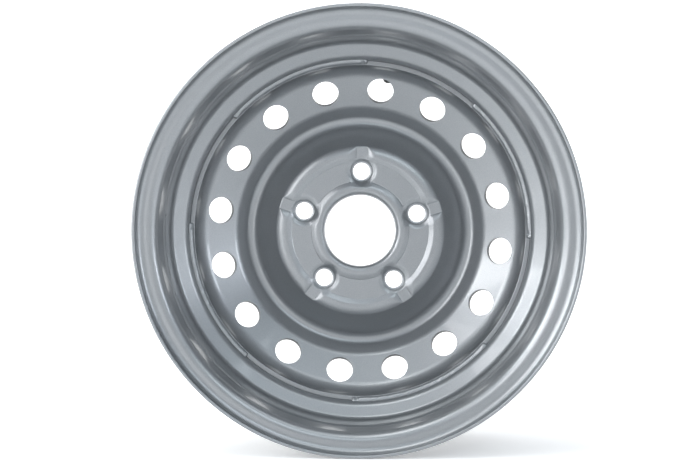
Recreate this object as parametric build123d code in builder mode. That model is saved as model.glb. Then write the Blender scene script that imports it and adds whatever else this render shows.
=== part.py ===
from build123d import *
from math import cos, hypot, radians, sin, tan
import os

# Welded steel trailer wheel: a rolled rim with a stamped disc welded into its well,
# and a snap-in tyre valve. Millimetres. The wheel turns about Y, +Z is up, and the
# origin is on the axis in the rim's middle plane. -Y is the inboard (hub) side.
# Angles are in degrees about the axis, from +X towards +Z, as seen from the inboard side.

os.makedirs("parts", exist_ok=True)

# Rim section
rim_sheet = 2.8
rim_width = 139.7
bead_seat_radius = 177.4
bead_taper = 5.0
bead_heel_radius = 6.5
flange_height = 17.3
flange_curl_radius = 9.5
flange_tip_turn = 15.0
hump_inset = 21.0
hump_height = 1.2
hump_run = 4.0
hump_foot_radius = 2.5
hump_crest_radius = 6.0
ledge_drop = 0.8
ledge_corner_radius = 3.0
ledge_end_radius = 7.0
well_depth = 17.6
well_inboard_end = 1.0
well_length = 25.0
inboard_slope_run = 9.0
outboard_slope_run = 12.0
well_corner_radius = 3.5

# Stamped disc
disc_sheet = 4.2
wheel_offset = 30.0
bore_radius = 33.5
bore_wall_length = 12.0
bore_entry_radius = 5.2
inner_land_end = 41.6
outer_land_start = 69.6
land_slope_run = 5.0
recess_depth = 2.0
recess_corner_radius = 5.0
plateau_radius = 77.1
plateau_edge_radius = 8.0
hat_depth = 25.0
hat_slope = 47.0
hat_foot_radius = 8.0
groove_floor_width = 7.2
groove_corner_radius = 5.0
groove_wall_run = 9.8
crest_below_land = 13.2
crest_edge_radius = 5.4
vent_band_drop = 20.43
skirt_bend_radius = 14.0
skirt_edge_axial = 6.5

# Vent holes, placed and sized by shares of the sloping band's run
vent_count = 16
vent_first_angle = 14.2
vent_place_share = 0.435
vent_size_share = 0.353

# Lug holes, with the pocket, the front boss and the dent in the outer land beside each
lug_count = 5
lug_first_angle = 16.6
pitch_circle_diameter = 112.0
lug_hole_radius = 8.1
lug_entry_radius = 10.6
lug_entry_depth = 1.4
lug_wall_length = 1.2
seat_cone_angle = 60.0
seat_collar_height = 3.0
seat_collar_wall = 2.4
seat_collar_draft = 2.2
pocket_depth = 1.6
pocket_length = 18.4
pocket_width = 21.8
pocket_corner_radius = 8.8
pocket_flank_slope = 30.0
boss_radius = 15.7
boss_flank_slope = 40.0
dent_depth = 2.4
dent_step = 0.5
dent_floor_width = 10.4
dent_step_run = 0.6
dent_flank_run = 7.6
dent_start_radius = 66.0

# Weld beads between the skirt's edge and the rim well
weld_count = 4
weld_first_angle = 22.7
weld_arc = 51.0
weld_throat_bulge = 0.9
weld_leg = 4.0
weld_end_round = 1.2

# Snap-in valve, in the outboard slope of the well
valve_angle = 79.6
valve_hole_radius = 5.75
valve_slope_share = 0.56
valve_seat_clearance = 0.45
valve_collar_radius = 7.4
valve_bulb_radius = 9.0
valve_bulb_length = 8.0
valve_bulb_tip_radius = 5.2
valve_collar_length = 3.0
valve_neck_radius = 5.6
valve_body_length = 20.0
valve_shoulder_radius = 1.2
valve_neck_blend_radius = 6.0
stem_radius = 2.6
stem_thread_radius = 3.85
stem_thread_length = 9.6
stem_air_radius = 1.5
stem_tip_chamfer = 0.4
core_radius = 2.1
core_length = 11.0
core_inset = 0.8
core_bore_radius = 0.85
pin_radius = 0.75
pin_inset = 0.3
pin_tail = 3.0
pin_cup_radius = 1.2
pin_cup_length = 0.8
pin_gap = 0.2
cap_wall = 0.85
cap_thread_clearance = 0.15
cap_length = 10.6
cap_end_clearance = 0.3
cap_edge_radius = 0.9
cap_flutes = 12
cap_flute_radius = 0.55
cap_flute_end = 1.6

# Derived rim sizes
flange_face = rim_width / 2
flange_radius = bead_seat_radius + flange_height
curl_centre_radius = flange_radius - flange_curl_radius
curl_centre_axial = flange_face + flange_curl_radius
hump_radius = bead_seat_radius - hump_inset * tan(radians(bead_taper))
hump_axial = flange_face - hump_inset
ledge_radius = hump_radius - ledge_drop
ledge_axial = hump_axial - 2 * hump_run
well_radius = bead_seat_radius - well_depth
well_air_radius = well_radius - rim_sheet
well_outboard_end = well_inboard_end + well_length

# Derived disc sizes
recess_floor = wheel_offset + recess_depth
groove_floor = wheel_offset + hat_depth
hat_foot = plateau_radius + hat_depth / tan(radians(hat_slope))
groove_end_radius = hat_foot + groove_floor_width
crest_radius = groove_end_radius + groove_wall_run
crest_axial = wheel_offset + crest_below_land
skirt_radius = well_air_radius
skirt_inner_radius = skirt_radius - disc_sheet
band_run = skirt_inner_radius - crest_radius
band_fall = vent_band_drop / band_run
band_end_axial = crest_axial - vent_band_drop
vent_radius = vent_size_share * band_run
vent_circle_radius = crest_radius + vent_place_share * band_run
vent_axial = crest_axial - vent_place_share * vent_band_drop
pitch_radius = pitch_circle_diameter / 2
pocket_floor = recess_floor + pocket_depth
boss_face = pocket_floor + disc_sheet
collar_face = boss_face + seat_collar_height
lug_angles = [lug_first_angle + 360 / lug_count * n for n in range(lug_count)]
vent_angles = [vent_first_angle + 360 / vent_count * n for n in range(vent_count)]
weld_angles = [weld_first_angle + 360 / weld_count * n for n in range(weld_count)]


def outward(angle):
    """Unit vector away from the wheel's axis at an angle."""
    return Vector(cos(radians(angle)), 0, sin(radians(angle)))


def along(angle):
    """Unit vector round the wheel's axis, towards increasing angle."""
    return Vector(-sin(radians(angle)), 0, cos(radians(angle)))


def lug_plane(angle, axial):
    """Plane across a lug hole's axis: x away from the hub, z towards the inboard side."""
    centre = outward(angle) * pitch_radius + Vector(0, axial, 0)
    return Plane(origin=centre, x_dir=outward(angle), z_dir=(0, -1, 0))


def dent_plane(angle, axial):
    """Plane across a dent's length: x round the axis, y towards the outboard side."""
    start = outward(angle) * dent_start_radius + Vector(0, axial, 0)
    return Plane(origin=start, x_dir=-along(angle), z_dir=outward(angle))


def section_plane(angle, radius):
    """Plane of the wheel's section at an angle: x is outward from a radius, y is axial."""
    return Plane(origin=outward(angle) * radius, x_dir=outward(angle), z_dir=along(angle))


def pocket_outline(margin):
    """Length, width and corner radius of the rounded outline round a lug hole."""
    return (
        pocket_length + 2 * margin,
        pocket_width + 2 * margin,
        pocket_corner_radius + margin,
    )


# Rim: the tyre-side line from the inboard flange tip to the outboard one, thickened inwards
rim_points = [
    (curl_centre_radius, -flange_face),
    (bead_seat_radius, -flange_face),
    (hump_radius, -hump_axial),
    (hump_radius + hump_height, -hump_axial + hump_run),
    (ledge_radius, -ledge_axial),
    (ledge_radius, well_inboard_end - inboard_slope_run),
    (well_radius, well_inboard_end),
    (well_radius, well_outboard_end),
    (ledge_radius, well_outboard_end + outboard_slope_run),
    (ledge_radius, ledge_axial),
    (hump_radius + hump_height, hump_axial - hump_run),
    (hump_radius, hump_axial),
    (bead_seat_radius, flange_face),
    (curl_centre_radius, flange_face),
]
hump_radii = [hump_foot_radius, hump_crest_radius, ledge_corner_radius]
rim_radii = [
    bead_heel_radius,
    *hump_radii,
    ledge_end_radius,
    well_corner_radius + rim_sheet,
    well_corner_radius + rim_sheet,
    ledge_corner_radius,
    *reversed(hump_radii),
    bead_heel_radius,
]

# Valve place: square to the outboard slope of the well, a little above its middle
slope_rise = ledge_radius - well_radius
slope_length = hypot(slope_rise, outboard_slope_run)
valve_axis = (
    outward(valve_angle) * -outboard_slope_run + Vector(0, slope_rise, 0)
) / slope_length
valve_seat = (
    outward(valve_angle) * (well_radius + valve_slope_share * slope_rise)
    + Vector(0, well_outboard_end + valve_slope_share * outboard_slope_run, 0)
    + valve_axis * rim_sheet
)
valve_section = Plane(
    origin=valve_seat,
    x_dir=along(valve_angle),
    z_dir=along(valve_angle).cross(valve_axis),
)
valve_line = Axis(valve_seat, valve_axis)

with BuildPart() as rim:
    with BuildSketch(Plane.XY):
        with BuildLine():
            CenterArc(
                (curl_centre_radius, -curl_centre_axial),
                flange_curl_radius,
                -flange_tip_turn,
                90 + flange_tip_turn,
            )
            FilletPolyline(*rim_points, radius=rim_radii)
            CenterArc(
                (curl_centre_radius, curl_centre_axial),
                flange_curl_radius,
                -90,
                90 + flange_tip_turn,
            )
            offset(amount=rim_sheet, side=Side.LEFT)
        make_face()
    revolve(axis=Axis.Y)
    with BuildSketch(Plane(origin=valve_seat, z_dir=valve_axis)):
        Circle(valve_hole_radius)
    extrude(amount=2 * rim_sheet, both=True, mode=Mode.SUBTRACT)
rim.part.label = "rim"
export_step(rim.part, "parts/rim.step")

# Disc: the inboard surface from the bore's outboard end to the skirt's edge, thickened outboard
disc_points = [
    (bore_radius, wheel_offset + bore_wall_length),
    (bore_radius, wheel_offset),
    (inner_land_end, wheel_offset),
    (inner_land_end + land_slope_run, recess_floor),
    (outer_land_start - land_slope_run, recess_floor),
    (outer_land_start, wheel_offset),
    (plateau_radius, wheel_offset),
    (hat_foot, groove_floor),
    (groove_end_radius, groove_floor),
    (crest_radius, crest_axial),
    (skirt_inner_radius, band_end_axial),
    (skirt_inner_radius, skirt_edge_axial),
]
disc_radii = [
    bore_entry_radius,
    recess_corner_radius,
    recess_corner_radius,
    recess_corner_radius,
    recess_corner_radius,
    plateau_edge_radius,
    hat_foot_radius,
    groove_corner_radius,
    crest_edge_radius,
    skirt_bend_radius,
]
dent_half = dent_floor_width / 2
dent_outline = [
    (-dent_half - dent_step_run - dent_flank_run, 0),
    (-dent_half - dent_step_run, dent_depth - dent_step),
    (-dent_half, dent_depth),
    (dent_half, dent_depth),
    (dent_half + dent_step_run, dent_depth - dent_step),
    (dent_half + dent_step_run + dent_flank_run, 0),
]
dent_cut_length = hat_foot - dent_start_radius
dent_bump_length = plateau_radius + disc_sheet / 2 - dent_start_radius
flank_growth = (pocket_floor - wheel_offset) / tan(radians(pocket_flank_slope))
boss_growth = disc_sheet / tan(radians(boss_flank_slope))
seat_mouth_radius = lug_hole_radius + tan(radians(seat_cone_angle / 2)) * (
    collar_face - pocket_floor - lug_entry_depth - lug_wall_length
)

with BuildPart() as disc:
    with BuildSketch(Plane.XY):
        with BuildLine():
            FilletPolyline(*disc_points, radius=disc_radii)
            offset(amount=disc_sheet, side=Side.LEFT)
        make_face()
    revolve(axis=Axis.Y)
    for angle in lug_angles:
        with BuildSketch(dent_plane(angle, wheel_offset + disc_sheet)):
            Polygon(*dent_outline, align=None)
        extrude(amount=dent_bump_length)
        with BuildSketch(lug_plane(angle, boss_face)):
            Circle(boss_radius)
        with BuildSketch(lug_plane(angle, wheel_offset + disc_sheet)):
            Circle(boss_radius + boss_growth)
        loft(ruled=True)
        with BuildSketch(lug_plane(angle, boss_face)):
            Circle(seat_mouth_radius + seat_collar_wall + seat_collar_draft)
        with BuildSketch(lug_plane(angle, collar_face)):
            Circle(seat_mouth_radius + seat_collar_wall)
        loft(ruled=True)
    for angle in lug_angles:
        with BuildSketch(dent_plane(angle, wheel_offset)):
            Polygon(*dent_outline, align=None)
        extrude(amount=dent_cut_length, mode=Mode.SUBTRACT)
        with BuildSketch(lug_plane(angle, pocket_floor)):
            RectangleRounded(*pocket_outline(0))
        with BuildSketch(lug_plane(angle, wheel_offset)):
            RectangleRounded(*pocket_outline(flank_growth))
        loft(ruled=True, mode=Mode.SUBTRACT)
        lug_section = section_plane(angle, pitch_radius)
        with BuildSketch(lug_section):
            with BuildLine():
                Polyline(
                    (0, wheel_offset),
                    (lug_entry_radius, wheel_offset),
                    (lug_entry_radius, pocket_floor),
                    (lug_hole_radius, pocket_floor + lug_entry_depth),
                    (lug_hole_radius, pocket_floor + lug_entry_depth + lug_wall_length),
                    (seat_mouth_radius, collar_face),
                    (0, collar_face),
                    close=True,
                )
            make_face()
        revolve(axis=Axis(lug_section.origin, (0, 1, 0)), mode=Mode.SUBTRACT)
    for angle in vent_angles:
        vent_centre = outward(angle) * vent_circle_radius + Vector(0, vent_axial, 0)
        band_normal = outward(angle) * band_fall + Vector(0, 1, 0)
        with BuildSketch(Plane(origin=vent_centre, z_dir=band_normal)):
            Circle(vent_radius)
        extrude(amount=2 * disc_sheet, both=True, mode=Mode.SUBTRACT)
disc.part.label = "disc"
export_step(disc.part, "parts/disc.step")

# Weld beads: a fillet between the skirt's cut edge and the rim well, rounded at both ends
for number, angle in enumerate(weld_angles, 1):
    with BuildPart() as weld_bead:
        with BuildSketch(section_plane(angle - weld_arc / 2, skirt_radius)):
            with BuildLine():
                Polyline(
                    (-weld_leg, skirt_edge_axial),
                    (0, skirt_edge_axial),
                    (0, skirt_edge_axial - weld_leg),
                )
                SagittaArc(
                    (0, skirt_edge_axial - weld_leg),
                    (-weld_leg, skirt_edge_axial),
                    weld_throat_bulge,
                )
            make_face()
        revolve(axis=Axis((0, 0, 0), (0, -1, 0)), revolution_arc=weld_arc)
        bead_ends = weld_bead.faces().filter_by(GeomType.PLANE).sort_by(SortBy.AREA)[:2]
        fillet(bead_ends.edges().filter_by(GeomType.CIRCLE), weld_end_round)
    weld_bead.part.label = f"weld_bead_{number}"
    export_step(weld_bead.part, f"parts/weld_bead_{number}.step")

# Valve: every piece is turned about the valve's own axis, from its section
bulb_base = -rim_sheet - valve_bulb_length
stem_length = valve_body_length + stem_thread_length
core_top = stem_length - core_inset
core_base = core_top - core_length
cap_base = valve_body_length + cap_end_clearance
cap_top = cap_base + cap_length
cap_roof = stem_length + cap_end_clearance
cap_bore_radius = stem_thread_radius + cap_thread_clearance
cap_radius = cap_bore_radius + cap_wall

with BuildPart() as valve_body:
    with BuildSketch(valve_section):
        with BuildLine():
            FilletPolyline(
                (stem_radius, bulb_base),
                (valve_bulb_tip_radius, bulb_base),
                (valve_bulb_radius, bulb_base + valve_bulb_length / 2),
                (valve_bulb_radius, -rim_sheet - valve_seat_clearance),
                (valve_hole_radius, -rim_sheet - valve_seat_clearance),
                (valve_hole_radius, valve_seat_clearance),
                (valve_collar_radius, valve_seat_clearance),
                (valve_collar_radius, valve_collar_length),
                (valve_neck_radius, valve_body_length / 2),
                (valve_neck_radius, valve_body_length),
                (stem_radius, valve_body_length),
                radius=[
                    valve_shoulder_radius,
                    valve_shoulder_radius,
                    0,
                    0,
                    0,
                    0,
                    valve_shoulder_radius,
                    valve_neck_blend_radius,
                    valve_shoulder_radius,
                ],
            )
            Line((stem_radius, valve_body_length), (stem_radius, bulb_base))
        make_face()
    revolve(axis=valve_line)
valve_body.part.label = "valve_body"
export_step(valve_body.part, "parts/valve_body.step")

with BuildPart() as valve_stem:
    with BuildSketch(valve_section):
        with BuildLine():
            Polyline(
                (stem_air_radius, bulb_base),
                (stem_radius, bulb_base),
                (stem_radius, valve_body_length),
                (stem_thread_radius, valve_body_length),
                (stem_thread_radius, stem_length),
                (core_radius, stem_length),
                (core_radius, core_base),
                (stem_air_radius, core_base),
                close=True,
            )
        make_face()
    revolve(axis=valve_line)
    stem_tip = valve_stem.faces().sort_by(valve_line)[-1]
    chamfer(stem_tip.outer_wire().edges(), stem_tip_chamfer)
valve_stem.part.label = "valve_stem"
export_step(valve_stem.part, "parts/valve_stem.step")

with BuildPart() as valve_core:
    with BuildSketch(valve_section):
        with Locations(((core_radius + core_bore_radius) / 2, core_base + core_length / 2)):
            Rectangle(core_radius - core_bore_radius, core_length)
    revolve(axis=valve_line)
valve_core.part.label = "valve_core"
export_step(valve_core.part, "parts/valve_core.step")

with BuildPart() as valve_pin:
    with BuildSketch(valve_section):
        with BuildLine():
            Polyline(
                (0, stem_length - pin_inset),
                (pin_radius, stem_length - pin_inset),
                (pin_radius, core_base - pin_gap),
                (pin_cup_radius, core_base - pin_gap),
                (pin_cup_radius, core_base - pin_gap - pin_cup_length),
                (pin_radius, core_base - pin_gap - pin_cup_length),
                (pin_radius, core_base - pin_tail),
                (0, core_base - pin_tail),
                close=True,
            )
        make_face()
    revolve(axis=valve_line)
valve_pin.part.label = "valve_pin"
export_step(valve_pin.part, "parts/valve_pin.step")

with BuildPart() as valve_cap:
    with BuildSketch(valve_section):
        with BuildLine():
            FilletPolyline(
                (0, cap_top),
                (cap_radius, cap_top),
                (cap_radius, cap_base),
                (cap_bore_radius, cap_base),
                (cap_bore_radius, cap_roof),
                (0, cap_roof),
                radius=[cap_edge_radius, 0, 0, 0],
            )
            Line((0, cap_roof), (0, cap_top))
        make_face()
    revolve(axis=valve_line)
    with BuildSketch(Plane(origin=valve_seat + valve_axis * cap_base, z_dir=valve_axis)):
        with PolarLocations(cap_radius, cap_flutes):
            Circle(cap_flute_radius)
    extrude(amount=cap_length - cap_flute_end, mode=Mode.SUBTRACT)
valve_cap.part.label = "valve_cap"
export_step(valve_cap.part, "parts/valve_cap.step")
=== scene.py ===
import math

import bpy
import numpy as np
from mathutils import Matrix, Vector
from mathutils.geometry import delaunay_2d_cdt


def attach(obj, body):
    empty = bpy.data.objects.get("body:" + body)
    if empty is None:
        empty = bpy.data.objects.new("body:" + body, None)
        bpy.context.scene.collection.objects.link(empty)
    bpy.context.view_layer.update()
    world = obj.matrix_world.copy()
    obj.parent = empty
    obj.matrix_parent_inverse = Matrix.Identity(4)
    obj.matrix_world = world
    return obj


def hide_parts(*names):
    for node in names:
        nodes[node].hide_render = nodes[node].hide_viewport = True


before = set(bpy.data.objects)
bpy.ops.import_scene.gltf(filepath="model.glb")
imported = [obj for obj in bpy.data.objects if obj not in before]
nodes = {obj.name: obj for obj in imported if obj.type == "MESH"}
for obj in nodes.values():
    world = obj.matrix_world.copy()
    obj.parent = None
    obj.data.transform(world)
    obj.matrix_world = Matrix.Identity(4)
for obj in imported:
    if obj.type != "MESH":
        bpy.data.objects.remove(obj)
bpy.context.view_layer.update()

# Sizes in millimetres. The wheel turns about Y, and -Y is the inboard (hub) side.
# Rim
RIM_SHEET = 2.8
FLANGE_FACE = 69.85
FLANGE_RADIUS = 194.7
CURL_RADIUS = 9.5
CURL_R = FLANGE_RADIUS - CURL_RADIUS
CURL_Y = FLANGE_FACE + CURL_RADIUS
TIP_TURN = 15.0
TIP_BULGE = 0.9
SEAT_RADIUS = 177.4
SEAT_WIDTH = 21.0
SEAT_TAPER = math.tan(math.radians(5))
HUMP_Y = 48.85
HUMP_R = SEAT_RADIUS - SEAT_WIDTH * SEAT_TAPER
HUMP_RISE = 1.2
HUMP_RUN = 4.0
LEDGE_R = HUMP_R - 0.8
LEDGE_END_Y = -8.0
WELL_R = 159.8
WELL_START_Y = 1.0
WELL_END_Y = 26.0
WELL_SLOPE_END_Y = 38.0
RIM_COLUMNS = 384
VALVE_ANGLE = 79.6
VALVE_HOLE_R = 5.75
VALVE_HOLE_EDGE = 0.3
VALVE_SLOPE_SHARE = 0.56

# Disc section, from the bore outwards
DISC_SHEET = 4.2
CUT_CORNER = 0.6
BORE_R = 33.5
BORE_END_Y = 41.4
LAND_Y = 30.0
LAND_MARK_R = 39.6
INNER_LAND_END = 41.6
RECESS_Y = 32.0
RECESS_START = 46.6
RECESS_END = 64.6
OUTER_LAND_START = 69.6
PLATEAU_END = 74.3
PLATEAU_R = 77.1
HAT_SLOPE = math.tan(math.radians(47))
HAT_TURN_R = 79.24
HAT_MARK_R = 88.0
HAT_SWELL = (91.51, 44.43)
GROOVE_Y = 55.0
GROOVE_END = 107.6
CREST = (117.4, 43.2)
BAND = math.radians(30)
BAND_FALL = math.tan(BAND)
BAND_MARK_R = 120.0
BEND_MARK_R = 147.3
SKIRT_IN = 152.8
SKIRT_OUT = 157.0
SKIRT_EDGE_Y = 6.5
COLUMNS = 320

# Lug holes: pocket, dent and entry on the inboard side, boss and seat collar at the front
LUG_ANGLES = [16.6 + 72.0 * n for n in range(5)]
LUG_CIRCLE = 56.0
LUG_R = 8.1
LUG_EDGE_R = 8.3
LUG_HALF = 36.0
LUG_COLUMNS = 64
LUG_STEPS = 60
CREASE_DEPTH = 0.10
CREASE_WIDTH = 0.38
CREASES = (46.5, 64.7)
POCKET_Y = 33.6
POCKET_FLANK = math.tan(math.radians(30))
POCKET_OUTLINE = (9.2, 10.9, 8.8)
ENTRY_R = 9.5
ENTRY_FOOT_R = 10.6
ENTRY_DEPTH = 0.88
ENTRY_CONE = 0.25
DENT_DEPTH = 2.4
DENT_HALF = 13.4
DENT_FLANK = 7.6
DENT_FLANK_DEPTH = 1.9
DENT_FLOOR_HALF = 5.2
DENT_STEP_HALF = 5.8
DENT_SPAN = (63.5, 67.5)
BOSS_Y = 37.8
BOSS_R = 15.7
BOSS_FLANK = math.tan(math.radians(40))
COLLAR_Y = 40.8
COLLAR_WIDTH = 4.6
CONE_START_Y = 36.2
MOUTH_R = LUG_R + math.tan(math.radians(30)) * 4.6
MOUTH_EDGE = 0.5
BORE_WALL_FOOT_Y = 36.8

# Vent holes
VENT_R = 12.5
VENT_CIRCLE = 132.8
VENT_Y = CREST[1] - (VENT_CIRCLE - CREST[0]) * BAND_FALL
VENT_ANGLES = [14.2 + 22.5 * n for n in range(16)]
VENT_HALF = 11.25
VENT_COLUMNS = 20
VENT_EDGE = 0.5
VENT_EDGE_STEPS = 5
# Painted shade on the vent walls: factor on the paint's base colour there
VENT_WALL_SHADE = 0.12

# Weld beads
WELD_ANGLES = [22.7 + 90.0 * n for n in range(4)]
WELD_ARC = 51.0
WELD_LEG = 3.7
WELD_BULGE = 0.95
WELD_END = 2.6
WELD_TUCK = 0.15
RIPPLE_PITCH = 1.7
RIPPLE_HEIGHT = 0.20


def rounded(corners, radii, step):
    """Line through corners with a radius at each inner one: points and left normals, as r + iy."""
    z = np.array([complex(*c) for c in corners])
    points = [z[0]]
    normals = [1j * (z[1] - z[0]) / abs(z[1] - z[0])]
    for a, b, c, radius in zip(z, z[1:], z[2:], radii):
        d0 = (b - a) / abs(b - a)
        turn = np.angle((c - b) / abs(c - b) / d0)
        if abs(turn) < 1e-6:
            points.append(b)
            normals.append(1j * d0)
            continue
        side = np.sign(turn) * radius
        centre = b - d0 * abs(side * np.tan(turn / 2)) + 1j * d0 * side
        count = max(3, int(np.ceil(abs(np.degrees(turn)) / step)) + 1)
        for t in np.linspace(0, turn, count):
            d = d0 * np.exp(1j * t)
            points.append(centre - 1j * d * side)
            normals.append(1j * d)
    points.append(z[-1])
    normals.append(1j * (z[-1] - z[-2]) / abs(z[-1] - z[-2]))
    return np.array(points), np.array(normals)


def arc_line(centre, radius, start, sweep, count):
    """Arc walked with rising angle: points and left normals."""
    a = np.radians(np.linspace(start, start + sweep, count))
    return centre + radius * np.exp(1j * a), -np.exp(1j * a)


def round_end(p, n, d, thickness, bulge):
    """Rounded end of a sheet from its side at p across to p + n * thickness, standing out along d."""
    a = np.linspace(0, np.pi, 11)[1:-1]
    middle = p + n * thickness / 2
    points = middle - n * np.cos(a) * thickness / 2 + d * np.sin(a) * bulge
    normals = -n * np.cos(a) / (thickness / 2) + d * np.sin(a) / bulge
    return points, normals / abs(normals)


def cut_end(p, n, d, thickness, corner):
    """Cut end of a sheet with small rounded corners, from its side at p across to p + n * thickness."""
    a = np.linspace(0, np.pi / 2, 5)
    first = p + n * corner - n * np.cos(a) * corner + d * np.sin(a) * corner
    last = p + n * (thickness - corner) + n * np.sin(a) * corner + d * np.cos(a) * corner
    points = np.concatenate([first, last])
    normals = np.concatenate([-n * np.cos(a) + d * np.sin(a), n * np.sin(a) + d * np.cos(a)])
    return points, normals


def turned(values, a):
    """Points or directions r + iy at the angles a round the Y axis, as x, y, z."""
    return np.stack([values.real * np.cos(a), values.imag * np.ones_like(a), values.real * np.sin(a)], axis=-1)


def circle_angles(count):
    return np.arange(count) * 2 * np.pi / count


def grid_faces(rows, columns, wrap_rows, wrap_columns):
    """Four-sided faces between rows of points."""
    index = np.arange(rows * columns).reshape(rows, columns)
    if wrap_rows:
        index = np.concatenate([index, index[:1]])
    if wrap_columns:
        index = np.concatenate([index, index[:, :1]], axis=1)
    quads = np.stack([index[:-1, :-1], index[1:, :-1], index[1:, 1:], index[:-1, 1:]], axis=-1)
    return quads.reshape(-1, 4)


def triangulate(flat, hole):
    """Triangles over flat points, the first of which are a closed row round a hole."""
    loop = [(k, (k + 1) % hole) for k in range(hole)]
    made = delaunay_2d_cdt([Vector(p) for p in flat], loop, [], 0, 1e-7, True)
    origin = np.array([k[0] for k in made[3]])
    return origin[np.array(made[2])]


class Shell:
    """Collects patches of a surface with their own normals and makes one mesh of them, each face with a
    painted-shade factor for the paint's base colour (1 where no shade is painted).
    """

    def __init__(self):
        self.points, self.normals, self.faces, self.cover, self.count = [], [], [], [], 0

    def add(self, points, normals, faces, cover=1.0):
        self.points.append(points)
        self.normals.append(normals)
        self.faces.append(faces + self.count)
        self.cover.append(np.broadcast_to(cover, len(faces)))
        self.count += len(points)

    def copies(self, points, normals, faces, angles, cover=1.0):
        """Patch made at angle 0, with x away from the axis and z round it, set at each angle."""
        for angle in np.radians(angles):
            c, s = np.cos(angle), np.sin(angle)
            turn = np.array([[c, 0, s], [0, 1, 0], [-s, 0, c]])
            self.add(points @ turn, normals @ turn, faces, cover)

    def lathe(self, line, normals, columns=COLUMNS, closed=False, start=0.0):
        """Line turned once round the wheel's axis, each row from its own starting angle."""
        rows = len(line)
        a = np.radians(np.broadcast_to(start, rows))[:, None] + circle_angles(columns)
        points, facing = (turned(k[:, None], a).reshape(-1, 3) for k in (line, normals))
        self.add(points, facing, grid_faces(rows, columns, closed, True))

    def open_first(self, removed):
        """Takes faces out of the first patch."""
        self.faces[0] = np.delete(self.faces[0], removed, axis=0)
        self.cover[0] = np.delete(self.cover[0], removed)

    def build(self, name):
        points = np.concatenate(self.points) * 0.001
        normals = np.concatenate(self.normals)
        keys = np.round(points * 1e7).astype(np.int64)
        _, first, inverse = np.unique(keys, axis=0, return_index=True, return_inverse=True)
        points, normals, inverse = points[first], normals[first], inverse.ravel()
        normals = normals / np.linalg.norm(normals, axis=1)[:, None]
        faces = []
        for patch in self.faces:
            patch = inverse[patch]
            a, b, c = (points[patch[:, k]] for k in (0, 1, 2))
            area = np.cross(b - a, c - a)
            if patch.shape[1] == 4:
                area = area + np.cross(c - a, points[patch[:, 3]] - a)
            wrong = np.einsum("ij,ij->i", area, normals[patch].sum(axis=1)) < 0
            patch[wrong] = patch[wrong][:, ::-1]
            faces += patch.tolist()
        mesh = bpy.data.meshes.new(name)
        mesh.from_pydata(points.tolist(), [], faces)
        mesh.polygons.foreach_set("use_smooth", np.ones(len(mesh.polygons), bool))
        # Per-face painted-shade factor, multiplied into the paint's base colour
        paint_cover = mesh.attributes.new("paint_cover", "FLOAT", "FACE")
        paint_cover.data.foreach_set("value", np.concatenate(self.cover))
        mesh.normals_split_custom_set_from_vertices(normals.tolist())
        mesh.validate()
        piece = bpy.data.objects.new(name, mesh)
        bpy.context.scene.collection.objects.link(piece)
        return piece


def soft_max(a, b, k):
    """Larger of two heights, blended where they differ by less than k."""
    h = np.maximum(k - abs(a - b), 0) / k
    return np.maximum(a, b) + h * h * k / 4


def soft_ramp(x, k):
    return soft_max(x, np.zeros_like(x), k)


def outline_distance(u, v, half_u, half_v, corner):
    """Signed distance to a rounded rectangle."""
    qu, qv = abs(u) - half_u + corner, abs(v) - half_v + corner
    outside = np.hypot(np.maximum(qu, 0), np.maximum(qv, 0))
    return outside + np.minimum(np.maximum(qu, qv), 0) - corner


def smooth_step(x, low, high):
    t = np.clip((x - low) / (high - low), 0, 1)
    return t * t * (3 - 2 * t)


def facing_normals(height, x, z, side):
    """Normals of the surface y = height(x, z), on its -y side or its +y side."""
    e = 0.02
    gx = (height(x + e, z) - height(x - e, z)) / (2 * e)
    gz = (height(x, z + e) - height(x, z - e)) / (2 * e)
    n = np.stack([-gx, np.ones_like(gx), -gz], axis=-1) * side
    return n / np.linalg.norm(n, axis=1)[:, None]


def ring_reach(ring, centre, x, z):
    """Distance from a hole's centre to a closed row of points round it, in the direction of each x, z."""
    around = np.arctan2(ring[1], ring[0] - centre)
    reach = np.hypot(ring[0] - centre, ring[1])
    order = np.argsort(around)
    return np.interp(np.arctan2(z, x - centre), around[order], reach[order], period=2 * np.pi)


def sector(half_angle, columns, radii, centre, rings, extra=()):
    """Flat patch of one sector of a ring with a hole: x, z and triangles.
    rings are closed rows of points round the hole, the first one its edge. extra are lines of points."""
    half = math.radians(half_angle)
    a, r = np.meshgrid(np.linspace(-half, half, columns + 1), radii)
    x, z = (r * np.cos(a)).ravel(), (r * np.sin(a)).ravel()
    edge = np.ones(a.shape, bool)
    edge[1:-1, 1:-1] = False
    edge = edge.ravel()
    ring_gap, line_gap = 0.45, 0.5
    keep = edge | (np.hypot(x - centre, z) > ring_reach(rings[-1], centre, x, z) + ring_gap)
    for ex, ez in extra:
        near = np.hypot(x[:, None] - ex, z[:, None] - ez).min(axis=1) < line_gap
        keep &= edge | ~near
    xs = np.concatenate([*[k[0] for k in rings], x[keep], *[k[0] for k in extra]])
    zs = np.concatenate([*[k[1] for k in rings], z[keep], *[k[1] for k in extra]])
    flat = [(math.atan2(q, p) * centre, math.hypot(p, q)) for p, q in zip(xs, zs)]
    triangles = triangulate(flat, len(rings[0][0]))
    cx, cz = xs[triangles].mean(axis=1), zs[triangles].mean(axis=1)
    limit = ring_reach(rings[0], centre, cx, cz)
    return xs, zs, triangles[np.hypot(cx - centre, cz) > limit * 0.9999 - 0.02]


def hole_rays(way, phi):
    """Directions away from a hole's axis, turning from way."""
    return np.cos(phi)[:, None] * way + np.sin(phi)[:, None] * np.array([0, 0, 1])


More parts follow.
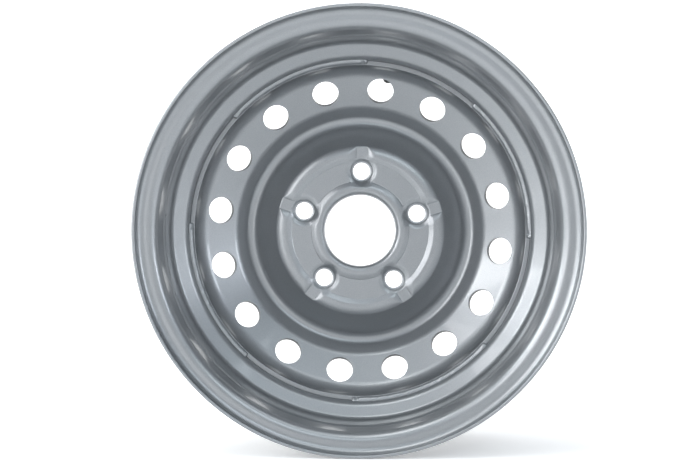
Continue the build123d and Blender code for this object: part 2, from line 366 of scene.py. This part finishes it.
def hole_wall(point, phi, radius, edge, sheet, way, up, steps):
    """Wall of a hole through a sheet, with a rounded edge on both sides: points, normals and faces."""
    rows, normals = [], []
    outward = hole_rays(way, phi)
    quarter = np.linspace(0, np.pi / 2, steps)
    for side, turns in ((-1.0, quarter), (1.0, quarter[::-1])):
        for t in turns:
            inset = edge * (1 - math.cos(t))
            height = inset if side < 0 else sheet - inset
            rows.append(point(radius + edge * (1 - math.sin(t)), phi, height))
            normals.append(-outward * math.sin(t) + up * side * math.cos(t))
    faces = grid_faces(len(rows), len(phi), False, True)
    return np.concatenate(rows), np.concatenate(normals), faces


# Rim: one rolled strip, its tyre side first and its air side as the way back
tip_angle = math.degrees(TIP_BULGE / CURL_RADIUS)
curl_sweep = 90 + TIP_TURN - tip_angle
rim_corners = [
    (CURL_R, -FLANGE_FACE), (SEAT_RADIUS, -FLANGE_FACE), (HUMP_R, -HUMP_Y),
    (HUMP_R + HUMP_RISE, -HUMP_Y + HUMP_RUN), (LEDGE_R, -HUMP_Y + 2 * HUMP_RUN), (LEDGE_R, LEDGE_END_Y),
    (WELL_R, WELL_START_Y), (WELL_R, WELL_END_Y), (LEDGE_R, WELL_SLOPE_END_Y),
    (LEDGE_R, HUMP_Y - 2 * HUMP_RUN), (HUMP_R + HUMP_RISE, HUMP_Y - HUMP_RUN), (HUMP_R, HUMP_Y),
    (SEAT_RADIUS, FLANGE_FACE), (CURL_R, FLANGE_FACE),
]
rim_radii = [6.5, 2.5, 6.0, 3.0, 9.0, 6.3, 6.3, 3.0, 3.0, 6.0, 2.5, 6.5]
curl_in = arc_line(complex(CURL_R, -CURL_Y), CURL_RADIUS, -TIP_TURN + tip_angle, curl_sweep, 14)
middle = rounded(rim_corners, rim_radii, 8.0)
curl_out = arc_line(complex(CURL_R, CURL_Y), CURL_RADIUS, -90, curl_sweep, 14)
line = np.concatenate([curl_in[0], middle[0][1:-1], curl_out[0]])
left = np.concatenate([curl_in[1], middle[1][1:-1], curl_out[1]])
tip_out = round_end(line[-1], left[-1], -1j * left[-1], RIM_SHEET, TIP_BULGE)
tip_in = round_end(line[0], left[0], 1j * left[0], RIM_SHEET, TIP_BULGE)
rim_shell = Shell()
rim_shell.lathe(
    np.concatenate([line, tip_out[0], (line + left * RIM_SHEET)[::-1], tip_in[0][::-1]]),
    np.concatenate([-left, tip_out[1], left[::-1], tip_in[1][::-1]]),
    columns=RIM_COLUMNS, closed=True,
)

# Valve hole, through the outboard slope of the well and square to it
well_corner, ledge_corner = complex(WELL_R, WELL_END_Y), complex(LEDGE_R, WELL_SLOPE_END_Y)
slope_way = (ledge_corner - well_corner) / abs(ledge_corner - well_corner)
slope_up = 1j * slope_way
valve_seat = well_corner + (ledge_corner - well_corner) * VALVE_SLOPE_SHARE
slope_row = int(np.argmin(abs((line[:-1] + line[1:]) / 2 - valve_seat)))
slope_back_row = 2 * len(line) + len(tip_out[0]) - 2 - slope_row
window = np.arange(11) + int(VALVE_ANGLE * RIM_COLUMNS / 360) - 4
rim_shell.open_first(
    [row * RIM_COLUMNS + column for row in (slope_row, slope_back_row) for column in window[:-1]])


def slope_point(rho, phi, height):
    """Points round the valve hole at a distance from its axis and a height over the slope's tyre side."""
    lift = np.full(len(phi), height)
    for _ in range(12):
        p = valve_seat + slope_way * rho * np.cos(phi) + slope_up * lift
        away = np.hypot(p.real, rho * np.sin(phi)) + 1j * p.imag - valve_seat
        lift = lift + height - (away * np.conj(slope_up)).real
    return np.stack([p.real, p.imag, rho * np.sin(phi)], axis=-1)


phi = circle_angles(40)
window_angles = np.radians(window * 360 / RIM_COLUMNS - VALVE_ANGLE)
for height, side in ((0.0, -1.0), (RIM_SHEET, 1.0)):
    ring = slope_point(VALVE_HOLE_R + VALVE_HOLE_EDGE, phi, height)
    border = (line + left * height)[slope_row:slope_row + 2]
    points = np.concatenate([ring, turned(border[:, None], window_angles).reshape(-1, 3)])
    around, away = np.arctan2(points[:, 2], points[:, 0]), np.hypot(points[:, 0], points[:, 2])
    along = ((away + 1j * points[:, 1] - valve_seat) * np.conj(slope_way)).real
    triangles = triangulate(list(zip(around * valve_seat.real, along)), len(phi))
    triangles = triangles[~(triangles < len(phi)).all(axis=1)]
    rim_shell.copies(points, turned(slope_up, around) * side, triangles, [VALVE_ANGLE])
valve_wall = hole_wall(
    slope_point, phi, VALVE_HOLE_R, VALVE_HOLE_EDGE, RIM_SHEET,
    np.array([slope_way.real, slope_way.imag, 0]), np.array([slope_up.real, slope_up.imag, 0]), 4)
rim_shell.copies(*valve_wall, [VALVE_ANGLE])
rim = rim_shell.build("rim_rolled")

# Disc section, with extra points on its straight runs where the patches with holes begin and end
hat_turn = (HAT_TURN_R, LAND_Y + (HAT_TURN_R - PLATEAU_R) * HAT_SLOPE)
hat_rise = (HAT_SWELL[1] - hat_turn[1]) / (HAT_SWELL[0] - hat_turn[0])
hat_mark = (HAT_MARK_R, hat_turn[1] + (HAT_MARK_R - hat_turn[0]) * hat_rise)
band_mark = (BAND_MARK_R, CREST[1] - (BAND_MARK_R - CREST[0]) * BAND_FALL)
land_mark = (LAND_MARK_R, LAND_Y)
disc_corners = [
    (BORE_R, BORE_END_Y), (BORE_R, LAND_Y), land_mark, (INNER_LAND_END, LAND_Y), (RECESS_START, RECESS_Y),
    (RECESS_END, RECESS_Y), (OUTER_LAND_START, LAND_Y), (PLATEAU_END, LAND_Y), hat_turn, hat_mark, HAT_SWELL,
    (PLATEAU_R + (GROOVE_Y - LAND_Y) / HAT_SLOPE, GROOVE_Y), (GROOVE_END, GROOVE_Y), CREST, band_mark,
    (SKIRT_IN, CREST[1] - (SKIRT_IN - CREST[0]) * BAND_FALL), (SKIRT_IN, SKIRT_EDGE_Y + CUT_CORNER),
]
disc_radii = [5.2, 0, 9.5, 1.0, 1.0, 3.4, 18.0, 7.4, 0, 90.0, 8.0, 6.9, 16.5, 0, 20.0]
line, left = rounded(disc_corners, disc_radii, 6.0)
fine, fine_left = rounded(disc_corners, disc_radii, 0.5)
bend_mark = line[np.argmin(abs(line.real - BEND_MARK_R))]
mark_points = [complex(*land_mark), complex(*hat_mark), complex(*band_mark), bend_mark]
land_at, hat_at, band_at, bend_at = (int(np.argmin(abs(line - m))) for m in mark_points)
fine_land, _, fine_band, fine_bend = (int(np.argmin(abs(fine - m))) for m in mark_points)
front = line + left * DISC_SHEET
fine_front = fine + fine_left * DISC_SHEET
hub_back = fine[fine_land - 1:fine_band + 1]
hub_front = fine_front[1:fine_band + 1]
skirt_end = cut_end(line[-1], left[-1], -1j * left[-1], DISC_SHEET, CUT_CORNER)
bore_end = cut_end(line[0], left[0], 1j * left[0], DISC_SHEET, CUT_CORNER)

# Turned rings of the disc, their columns meeting those of the patches with holes
vent_start = VENT_ANGLES[0] - VENT_HALF
hub_start = LUG_ANGLES[0] - LUG_HALF + 20 * 360 / COLUMNS
bore_wall_r = front[0].real
bore_wall_foot = complex(bore_wall_r, BORE_WALL_FOOT_Y)
disc_shell = Shell()
disc_shell.lathe(
    np.concatenate([line[bend_at:], skirt_end[0], front[bend_at:][::-1]]),
    np.concatenate([-left[bend_at:], skirt_end[1], left[bend_at:][::-1]]),
    start=vent_start,
)
disc_shell.lathe(
    np.concatenate([line[:land_at + 1][::-1], bore_end[0], [front[0], bore_wall_foot]]),
    np.concatenate([-left[:land_at + 1][::-1], bore_end[1], left[:1], left[:1]]),
    start=hub_start,
)
hat_run = slice(hat_at, band_at + 1)
twist = np.linspace(hub_start, vent_start, band_at + 1 - hat_at)
disc_shell.lathe(line[hat_run], -left[hat_run], start=twist)
disc_shell.lathe(front[hat_run], left[hat_run], start=twist)


# Lug holes: a pocket round each, a dent through the outer land beside it, and a seat collar at the front
def dent_depth(v):
    """Height of a dent's section: a flat floor, a short step and long flanks."""
    t = abs(v)
    flank = DENT_FLANK_DEPTH * (np.clip(DENT_HALF - t, 0, None) / DENT_FLANK) ** 1.7
    step = DENT_DEPTH - (t - DENT_FLOOR_HALF) * 0.5 / 0.6
    inner = -soft_max(np.full_like(t, -DENT_DEPTH), -step, 0.12)
    return np.where(t < DENT_STEP_HALF, np.minimum(inner, DENT_DEPTH), flank)


def dent_height(r, v):
    """Height of a dent over the land, sunk out of sight where it ends in the recess."""
    return LAND_Y + dent_depth(v) - 6.0 * (1 - smooth_step(r, *DENT_SPAN))


def hub_back_height(x, z):
    """Inboard face of the hub, for a lug hole at angle 0."""
    r = np.hypot(x, z)
    u = x - LUG_CIRCLE
    rho = np.hypot(u, z)
    base = np.interp(r, hub_back.real, hub_back.imag)
    base = base + CREASE_DEPTH * sum(np.exp(-((r - at) / CREASE_WIDTH) ** 2) for at in CREASES)
    pocket = POCKET_Y - POCKET_FLANK * soft_ramp(outline_distance(u, z, *POCKET_OUTLINE), 1.6)
    entry_floor = ENTRY_DEPTH + (ENTRY_R - rho) * ENTRY_CONE
    entry = POCKET_Y + np.where(rho < ENTRY_R, entry_floor, (ENTRY_FOOT_R - rho) * 0.8)
    pressed = soft_max(soft_max(soft_max(base, dent_height(r, z), 0.5), pocket, 1.2), entry, 0.2)
    return base + (pressed - base) * smooth_step(r, LAND_MARK_R, LAND_MARK_R + 2.0)


def hub_front_height(x, z):
    """Front face of the hub, for a lug hole at angle 0."""
    r = np.hypot(x, z)
    rho = np.hypot(x - LUG_CIRCLE, z)
    base = np.interp(r, hub_front.real, hub_front.imag)
    boss = BOSS_Y - BOSS_FLANK * soft_ramp(rho - BOSS_R, 1.4)
    collar_side = BOSS_Y + (MOUTH_R + COLLAR_WIDTH - rho) * 3.0 / 2.2
    collar = -soft_max(np.full_like(rho, -COLLAR_Y), -collar_side, 0.8)
    dent = DISC_SHEET + dent_height(r, z)
    return soft_max(soft_max(soft_max(base, dent, 0.8), boss, 1.2), collar, 1.0)


def lug_circles(radii):
    a = circle_angles(LUG_STEPS)
    return [(LUG_CIRCLE + r * np.cos(a), r * np.sin(a)) for r in radii]


def add_hub_side(height, side, radii, ring_radii, extra):
    """One side of the hub, a sector for each lug hole."""
    x, z, triangles = sector(LUG_HALF, LUG_COLUMNS, radii, LUG_CIRCLE, lug_circles(ring_radii), extra)
    points = np.stack([x, height(x, z), z], axis=-1)
    disc_shell.copies(points, facing_normals(height, x, z, side), triangles, LUG_ANGLES)


step_run = np.linspace(70.0, 83.0, 19)
step_places = (-6.0, -5.8, -5.5, -5.2, -5.0, 5.0, 5.2, 5.5, 5.8, 6.0)
step_lines = [(step_run, np.full_like(step_run, v)) for v in step_places]
back_radii = np.concatenate([
    np.linspace(LAND_MARK_R, 45.2, 8), np.linspace(45.5, 47.6, 10), np.linspace(48.4, 63.0, 18),
    np.linspace(63.6, 65.8, 10), np.linspace(66.4, 84.0, 26), np.linspace(85.0, HAT_MARK_R, 3)])
back_rings = [LUG_EDGE_R, 8.8, 9.2, 9.4, 9.6, 9.85, 10.15, 10.4, 10.55, 10.7, 11.0, 11.4, 11.9, 12.5, 13.2,
              14.0, 14.8]
add_hub_side(hub_back_height, -1.0, back_radii, back_rings, step_lines)
front_radii = np.concatenate([
    np.linspace(bore_wall_r, 39.3, 6), np.linspace(40.4, 80.0, 28),
    np.linspace(81.0, front[hat_at].real, 5)])
front_rings = [MOUTH_R + gap for gap in (MOUTH_EDGE, 1.3, 2.0, 2.4, 2.9, 3.8, COLLAR_WIDTH, 5.2)]
add_hub_side(hub_front_height, 1.0, front_radii, front_rings, ())

# Foot of the bore's wall, between the front of the hub and the turned ring above it
a = np.radians(np.linspace(-LUG_HALF, LUG_HALF, LUG_COLUMNS + 1))
x, z = bore_wall_r * np.cos(a), bore_wall_r * np.sin(a)
foot_rows = (hub_front_height(x, z), np.full_like(x, BORE_WALL_FOOT_Y))
points = np.concatenate([np.stack([x, y, z], axis=-1) for y in foot_rows])
disc_shell.copies(points, np.tile(turned(complex(1, 0), a), (2, 1)),
                  grid_faces(2, LUG_COLUMNS + 1, False, False), LUG_ANGLES)

# Walls of the lug holes, with their seat cones
edge_y = POCKET_Y + ENTRY_DEPTH + (ENTRY_R - LUG_EDGE_R) * ENTRY_CONE
wall, wall_left = rounded(
    [(LUG_EDGE_R, edge_y), (LUG_R, edge_y + 0.05), (LUG_R, CONE_START_Y), (MOUTH_R, COLLAR_Y),
     (MOUTH_R + MOUTH_EDGE, COLLAR_Y)],
    [0.2, 0.8, 0.3], 15.0)
points, normals = (turned(k[:, None], circle_angles(LUG_STEPS)).reshape(-1, 3) for k in (wall, wall_left))
disc_shell.copies(points + np.array([LUG_CIRCLE, 0, 0]), normals,
                  grid_faces(len(wall), LUG_STEPS, False, True), LUG_ANGLES)

# Vent holes, punched square to the sloping band, with the soft edge that paint leaves, and painted shade on
# their walls: past the first rows by the inboard face, the base colour is cut to 0.12
band_out = np.array([math.cos(BAND), -math.sin(BAND), 0])
band_up = np.array([math.sin(BAND), math.cos(BAND), 0])
band_run = slice(fine_band - 8, min(len(fine), fine_bend + 12))


def band_side(height):
    """One side of the sloping band at a height over its inboard face: radius, y and normal."""
    side = fine[band_run] + fine_left[band_run] * height
    return side.real, side.imag, fine_left[band_run]


def vent_point(rho, phi, height):
    """Points round a vent at a distance from its axis and a height over the band's inboard face."""
    r_side, y_side, _ = band_side(height)
    base = np.array([VENT_CIRCLE, VENT_Y, 0]) + rho * hole_rays(band_out, phi)
    lift = np.full(len(phi), height)
    for _ in range(12):
        p = base + lift[:, None] * band_up
        lift += (np.interp(np.hypot(p[:, 0], p[:, 2]), r_side, y_side) - p[:, 1]) * math.cos(BAND)
    return base + lift[:, None] * band_up


phi = circle_angles(48)
for height, side, surface in ((0.0, -1.0, line), (DISC_SHEET, 1.0, front)):
    inner, outer = surface[band_at], surface[bend_at]
    rings = [vent_point(VENT_R + gap, phi, height) for gap in (VENT_EDGE, 1.2, 2.2)]
    rings = [(p[:, 0], p[:, 2]) for p in rings if np.hypot(p[:, 0], p[:, 2]).max() < outer.real - 0.4]
    x, z, triangles = sector(VENT_HALF, VENT_COLUMNS, np.linspace(inner.real, outer.real, 17),
                             VENT_CIRCLE + height * math.sin(BAND), rings)
    r = np.hypot(x, z)
    r_side, y_side, n_side = band_side(height)
    y = np.where(r > outer.real - 1e-6, outer.imag, np.interp(r, r_side, y_side))
    n_r, n_y = np.interp(r, r_side, n_side.real) * side, np.interp(r, r_side, n_side.imag) * side
    normals = np.stack([n_r * x / r, n_y, n_r * z / r], axis=-1)
    disc_shell.copies(np.stack([x, y, z], axis=-1), normals, triangles, VENT_ANGLES)
# Painted shade: vent wall faces past the first three rows get 0.12 of the paint's base colour
wall_cover = np.where(np.arange(2 * VENT_EDGE_STEPS - 1) < 3, 1.0, VENT_WALL_SHADE).repeat(len(phi))
vent_wall = hole_wall(vent_point, phi, VENT_R, VENT_EDGE, DISC_SHEET, band_out, band_up, VENT_EDGE_STEPS)
disc_shell.copies(*vent_wall, VENT_ANGLES, wall_cover)
disc = disc_shell.build("disc_stamped")


def weld(name, angle, seed):
    """Weld bead: a rippled convex fillet, thicker where it was started and sunk where it stopped."""
    random = np.random.default_rng(seed)
    along, across, knot_count = 280, 15, 40
    length = math.radians(WELD_ARC) * SKIRT_OUT
    s = np.linspace(0, length, along)
    knots = np.linspace(0, length, knot_count)
    wander = np.interp(s, knots, random.normal(0, 0.12, knot_count))
    swell = np.interp(s, knots, random.normal(0, 0.10, knot_count))
    pitch = np.interp(s, knots, random.uniform(0.9, 1.1, knot_count))
    phase = np.cumsum(pitch) * (length / along) / RIPPLE_PITCH
    a = (np.radians(angle + WELD_ARC / 2) - s / SKIRT_OUT)[:, None]
    from_end = np.minimum(s, length - s)
    fade = np.sqrt(np.clip(1 - (1 - np.clip(from_end / WELD_END, 0, 1)) ** 2, 0.0, 1))
    v = np.linspace(0, 1, across)
    leg = WELD_LEG * (0.35 + 0.65 * fade) + wander * fade
    start = SKIRT_OUT - leg + 1j * SKIRT_EDGE_Y
    stop = SKIRT_OUT + 1j * (SKIRT_EDGE_Y - leg)
    chord = start[:, None] * (1 - v) + stop[:, None] * v
    crater = 0.9 * np.exp(-((length - s - 4.5) / 2.4) ** 2) - 0.45 * np.exp(-((s - 3.5) / 3.0) ** 2)
    lag = 0.55 * (2 * v - 1) ** 2
    wave = np.abs(np.sin(np.pi * (phase[:, None] - lag))) ** 0.7 - 0.6
    bulge = (WELD_BULGE + swell - crater)[:, None] * np.sin(np.pi * v) ** 0.8
    bulge = (bulge + RIPPLE_HEIGHT * wave * np.sin(np.pi * v)) * fade[:, None]
    section = chord + bulge * (-1 - 1j) / math.sqrt(2)
    section[:, 0] += 1j * WELD_TUCK
    section[:, -1] += WELD_TUCK
    points = turned(section, a)
    facing = np.cross(np.gradient(points, axis=0), np.gradient(points, axis=1))
    outside = -turned(np.full(across, 1 + 1j), a)
    facing *= np.sign(np.einsum("ijk,ijk->ij", facing, outside))[:, :, None]
    shell = Shell()
    shell.add(points.reshape(-1, 3), facing.reshape(-1, 3) + 1e-12, grid_faces(along, across, False, False))
    return shell.build(name)


welds = [weld(f"weld_{k}", angle, k) for k, angle in enumerate(WELD_ANGLES, 1)]

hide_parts("rim")
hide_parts("disc")
for piece in (rim, disc):
    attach(piece, "wheel")
for k, piece in enumerate(welds, 1):
    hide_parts(f"weld_bead_{k}")
    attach(piece, "wheel")


# Materials
def new_material(name):
    material = bpy.data.materials.new(name)
    material.use_nodes = True
    tree = material.node_tree
    return material, tree, tree.nodes["Principled BSDF"]


def coordinates(tree):
    node = tree.nodes.get("Texture Coordinate") or tree.nodes.new("ShaderNodeTexCoord")
    return node.outputs["Object"]


def noise(tree, scale, detail):
    node = tree.nodes.new("ShaderNodeTexNoise")
    node.inputs["Scale"].default_value = scale
    node.inputs["Detail"].default_value = detail
    tree.links.new(coordinates(tree), node.inputs["Vector"])
    return node.outputs["Fac"]


def ramp(tree, source, low, high):
    node = tree.nodes.new("ShaderNodeValToRGB")
    for element, position, colour in zip(node.color_ramp.elements, (0.35, 0.65), (low, high)):
        element.position = position
        element.color = (*colour, 1)
    tree.links.new(source, node.inputs["Fac"])
    return node.outputs["Color"]


def map_range(tree, source, from_min, from_max, to_min, to_max):
    node = tree.nodes.new("ShaderNodeMapRange")
    node.inputs["From Min"].default_value = from_min
    node.inputs["From Max"].default_value = from_max
    node.inputs["To Min"].default_value = to_min
    node.inputs["To Max"].default_value = to_max
    tree.links.new(source, node.inputs["Value"])
    return node.outputs["Result"]


def spread(tree, source, low, high):
    return map_range(tree, source, 0.3, 0.7, low, high)


def bump(tree, source, strength, distance):
    node = tree.nodes.new("ShaderNodeBump")
    node.inputs["Strength"].default_value = strength
    node.inputs["Distance"].default_value = distance
    tree.links.new(source, node.inputs["Height"])
    return node.outputs["Normal"]


paint, tree, shader = new_material("silver_paint")
flake = noise(tree, 2600.0, 2.0)
cloud = noise(tree, 14.0, 3.0)
# Base colour times each face's painted-shade factor, which is dark only on the vent walls
cover = tree.nodes.new("ShaderNodeAttribute")
cover.attribute_name = "paint_cover"
coloured = tree.nodes.new("ShaderNodeVectorMath")
coloured.operation = "MULTIPLY"
tree.links.new(ramp(tree, flake, (0.27, 0.285, 0.30), (0.33, 0.345, 0.36)), coloured.inputs[0])
tree.links.new(cover.outputs["Vector"], coloured.inputs[1])
tree.links.new(coloured.outputs["Vector"], shader.inputs["Base Color"])
tree.links.new(spread(tree, cloud, 0.36, 0.41), shader.inputs["Roughness"])
shader.inputs["Metallic"].default_value = 0.9
shader.inputs["Coat Weight"].default_value = 0.6
shader.inputs["Coat Roughness"].default_value = 0.06
tree.links.new(bump(tree, noise(tree, 420.0, 2.0), 0.02, 0.0003), shader.inputs["Normal"])

rubber, tree, shader = new_material("valve_rubber")
tree.links.new(ramp(tree, noise(tree, 300.0, 4.0), (0.011, 0.011, 0.012), (0.022, 0.022, 0.023)),
               shader.inputs["Base Color"])
tree.links.new(spread(tree, noise(tree, 120.0, 3.0), 0.5, 0.68), shader.inputs["Roughness"])
tree.links.new(bump(tree, noise(tree, 1500.0, 3.0), 0.15, 0.0002), shader.inputs["Normal"])

plastic, tree, shader = new_material("cap_plastic")
tree.links.new(ramp(tree, noise(tree, 500.0, 3.0), (0.010, 0.010, 0.011), (0.018, 0.018, 0.019)),
               shader.inputs["Base Color"])
tree.links.new(spread(tree, noise(tree, 260.0, 2.0), 0.36, 0.5), shader.inputs["Roughness"])
tree.links.new(bump(tree, noise(tree, 2500.0, 2.0), 0.1, 0.0001), shader.inputs["Normal"])

brass, tree, shader = new_material("valve_brass")
tree.links.new(ramp(tree, noise(tree, 240.0, 3.0), (0.56, 0.40, 0.17), (0.68, 0.52, 0.25)),
               shader.inputs["Base Color"])
tree.links.new(spread(tree, noise(tree, 700.0, 3.0), 0.22, 0.36), shader.inputs["Roughness"])
shader.inputs["Metallic"].default_value = 1.0


def wear(piece, material):
    piece.data.materials.clear()
    piece.data.materials.append(material)


for piece in (rim, disc, *welds):
    wear(piece, paint)
for name, material in (("valve_body", rubber), ("valve_stem", brass), ("valve_core", brass),
                       ("valve_pin", brass), ("valve_cap", plastic)):
    wear(nodes[name], material)

# Stage, in metres
FLOOR_Z = -0.1949
FLOOR_REACH = 16.0
BACKDROP_Y = 3.0
BACKDROP_TOP = 5.0
SWEEP_R = 0.8
POOL_Y = -0.75
POOL_EDGE = 0.35
FLOOR_GLOW = 0.7
POOL_GLOW = 0.15
WALL_R = 15.0
WALL_TOP = 4.2
WALL_SIDES = 64
WALL_GLOW = 0.3
LIGHT_DISTANCE = 1.8


def stage_piece(name, points, faces):
    mesh = bpy.data.meshes.new(name)
    mesh.from_pydata(points, [], faces)
    mesh.polygons.foreach_set("use_smooth", np.ones(len(faces), bool))
    piece = bpy.data.objects.new(name, mesh)
    bpy.context.scene.collection.objects.link(piece)
    return piece


# Pale floor that sweeps up into a white backdrop, its own glow dimmed in a pool before the wheel
sweep = [(-FLOOR_REACH, FLOOR_Z)] + [
    (BACKDROP_Y - SWEEP_R + SWEEP_R * math.sin(t), FLOOR_Z + SWEEP_R * (1 - math.cos(t)))
    for t in np.linspace(0, math.pi / 2, 12)
] + [(BACKDROP_Y, BACKDROP_TOP)]
floor = stage_piece(
    "floor", [(x, y, z) for y, z in sweep for x in (-FLOOR_REACH, FLOOR_REACH)],
    [(2 * k, 2 * k + 1, 2 * k + 3, 2 * k + 2) for k in range(len(sweep) - 1)])
pale, tree, shader = new_material("pale_floor")
shader.inputs["Base Color"].default_value = (0.9, 0.9, 0.9, 1)
shader.inputs["Roughness"].default_value = 0.9
shader.inputs["Emission Color"].default_value = (1, 1, 1, 1)
place = tree.nodes.new("ShaderNodeMapping")
place.inputs["Location"].default_value = (0, -POOL_Y, 0)
tree.links.new(coordinates(tree), place.inputs["Vector"])
pool = tree.nodes.new("ShaderNodeTexGradient")
pool.gradient_type = "SPHERICAL"
tree.links.new(place.outputs["Vector"], pool.inputs["Vector"])
tree.links.new(map_range(tree, pool.outputs["Fac"], 0.0, POOL_EDGE, FLOOR_GLOW, POOL_GLOW),
               shader.inputs["Emission Strength"])
wear(floor, pale)

# Pale wall far round the floor
wall_angles = np.linspace(0, 2 * math.pi, WALL_SIDES + 1)[:-1]
wall_ends = 2 * WALL_SIDES
far_wall = stage_piece(
    "far_wall",
    [(WALL_R * math.cos(t), WALL_R * math.sin(t), z) for t in wall_angles for z in (FLOOR_Z, WALL_TOP)],
    [(2 * k, 2 * k + 1, (2 * k + 3) % wall_ends, (2 * k + 2) % wall_ends) for k in range(WALL_SIDES)])
grey, tree, shader = new_material("pale_wall")
shader.inputs["Base Color"].default_value = (0.8, 0.8, 0.8, 1)
shader.inputs["Roughness"].default_value = 0.9
shader.inputs["Emission Color"].default_value = (1, 1, 1, 1)
shader.inputs["Emission Strength"].default_value = WALL_GLOW
wear(far_wall, grey)

world = bpy.data.worlds.new("studio")
bpy.context.scene.world = world
world.use_nodes = True
world.node_tree.nodes["Background"].inputs["Color"].default_value = (0.69, 0.83, 1.0, 1)
world.node_tree.nodes["Background"].inputs["Strength"].default_value = 0.15


def softbox(name, around, off_axis, size, power, colour):
    """Area light on the inboard side, at an angle round the wheel and an angle off its axis."""
    light = bpy.data.lights.new(name, "AREA")
    light.shape = "RECTANGLE"
    light.size, light.size_y = size
    light.energy = power
    light.color = colour
    place = bpy.data.objects.new(name, light)
    bpy.context.scene.collection.objects.link(place)
    a, b = math.radians(around), math.radians(off_axis)
    way = Vector((math.sin(b) * math.cos(a), -math.cos(b), math.sin(b) * math.sin(a)))
    place.location = way * LIGHT_DISTANCE
    place.rotation_mode = "QUATERNION"
    place.rotation_quaternion = way.to_track_quat("Z", "Y")


softbox("key", 150, 38, (0.57, 1.2), 8.5, (1.0, 0.99, 1.0))
softbox("key_low", 156, 76, (0.57, 1.1), 11, (0.96, 1.0, 1.0))
softbox("key_edge", 158, 58, (0.35, 0.6), 5.5, (1.0, 1.0, 1.0))
softbox("top", 90, 62, (2.4, 0.5), 8.5, (0.94, 0.98, 1.0))
softbox("top_low", 108, 76, (1.1, 0.57), 6, (1.0, 1.0, 0.98))
softbox("top_right", 65, 34, (1.2, 0.57), 6, (0.88, 0.96, 1.0))
softbox("fill", 14, 60, (0.4, 0.5), 4.5, (0.88, 0.93, 1.0))

# Camera at the photographed view, almost square on to the inboard side
SENSOR_WIDTH = 36.0
IMAGE_WIDTH = 700
FOCAL_PIXELS = 1253.7
CAMERA_YAW = math.radians(1.234)
CAMERA_PITCH = math.radians(0.498)
camera = bpy.data.objects.new("camera", bpy.data.cameras.new("camera"))
bpy.context.scene.collection.objects.link(camera)
bpy.context.scene.camera = camera
camera.data.sensor_width = SENSOR_WIDTH
camera.data.lens = FOCAL_PIXELS / IMAGE_WIDTH * SENSOR_WIDTH
camera.location = (0.016, -1.151, 0.0074)
aim = Vector((-math.sin(CAMERA_YAW) * math.cos(CAMERA_PITCH), math.cos(CAMERA_YAW) * math.cos(CAMERA_PITCH),
              -math.sin(CAMERA_PITCH)))
camera.rotation_mode = "QUATERNION"
camera.rotation_quaternion = aim.to_track_quat("-Z", "Y")
bpy.context.scene.view_settings.view_transform = "Standard"
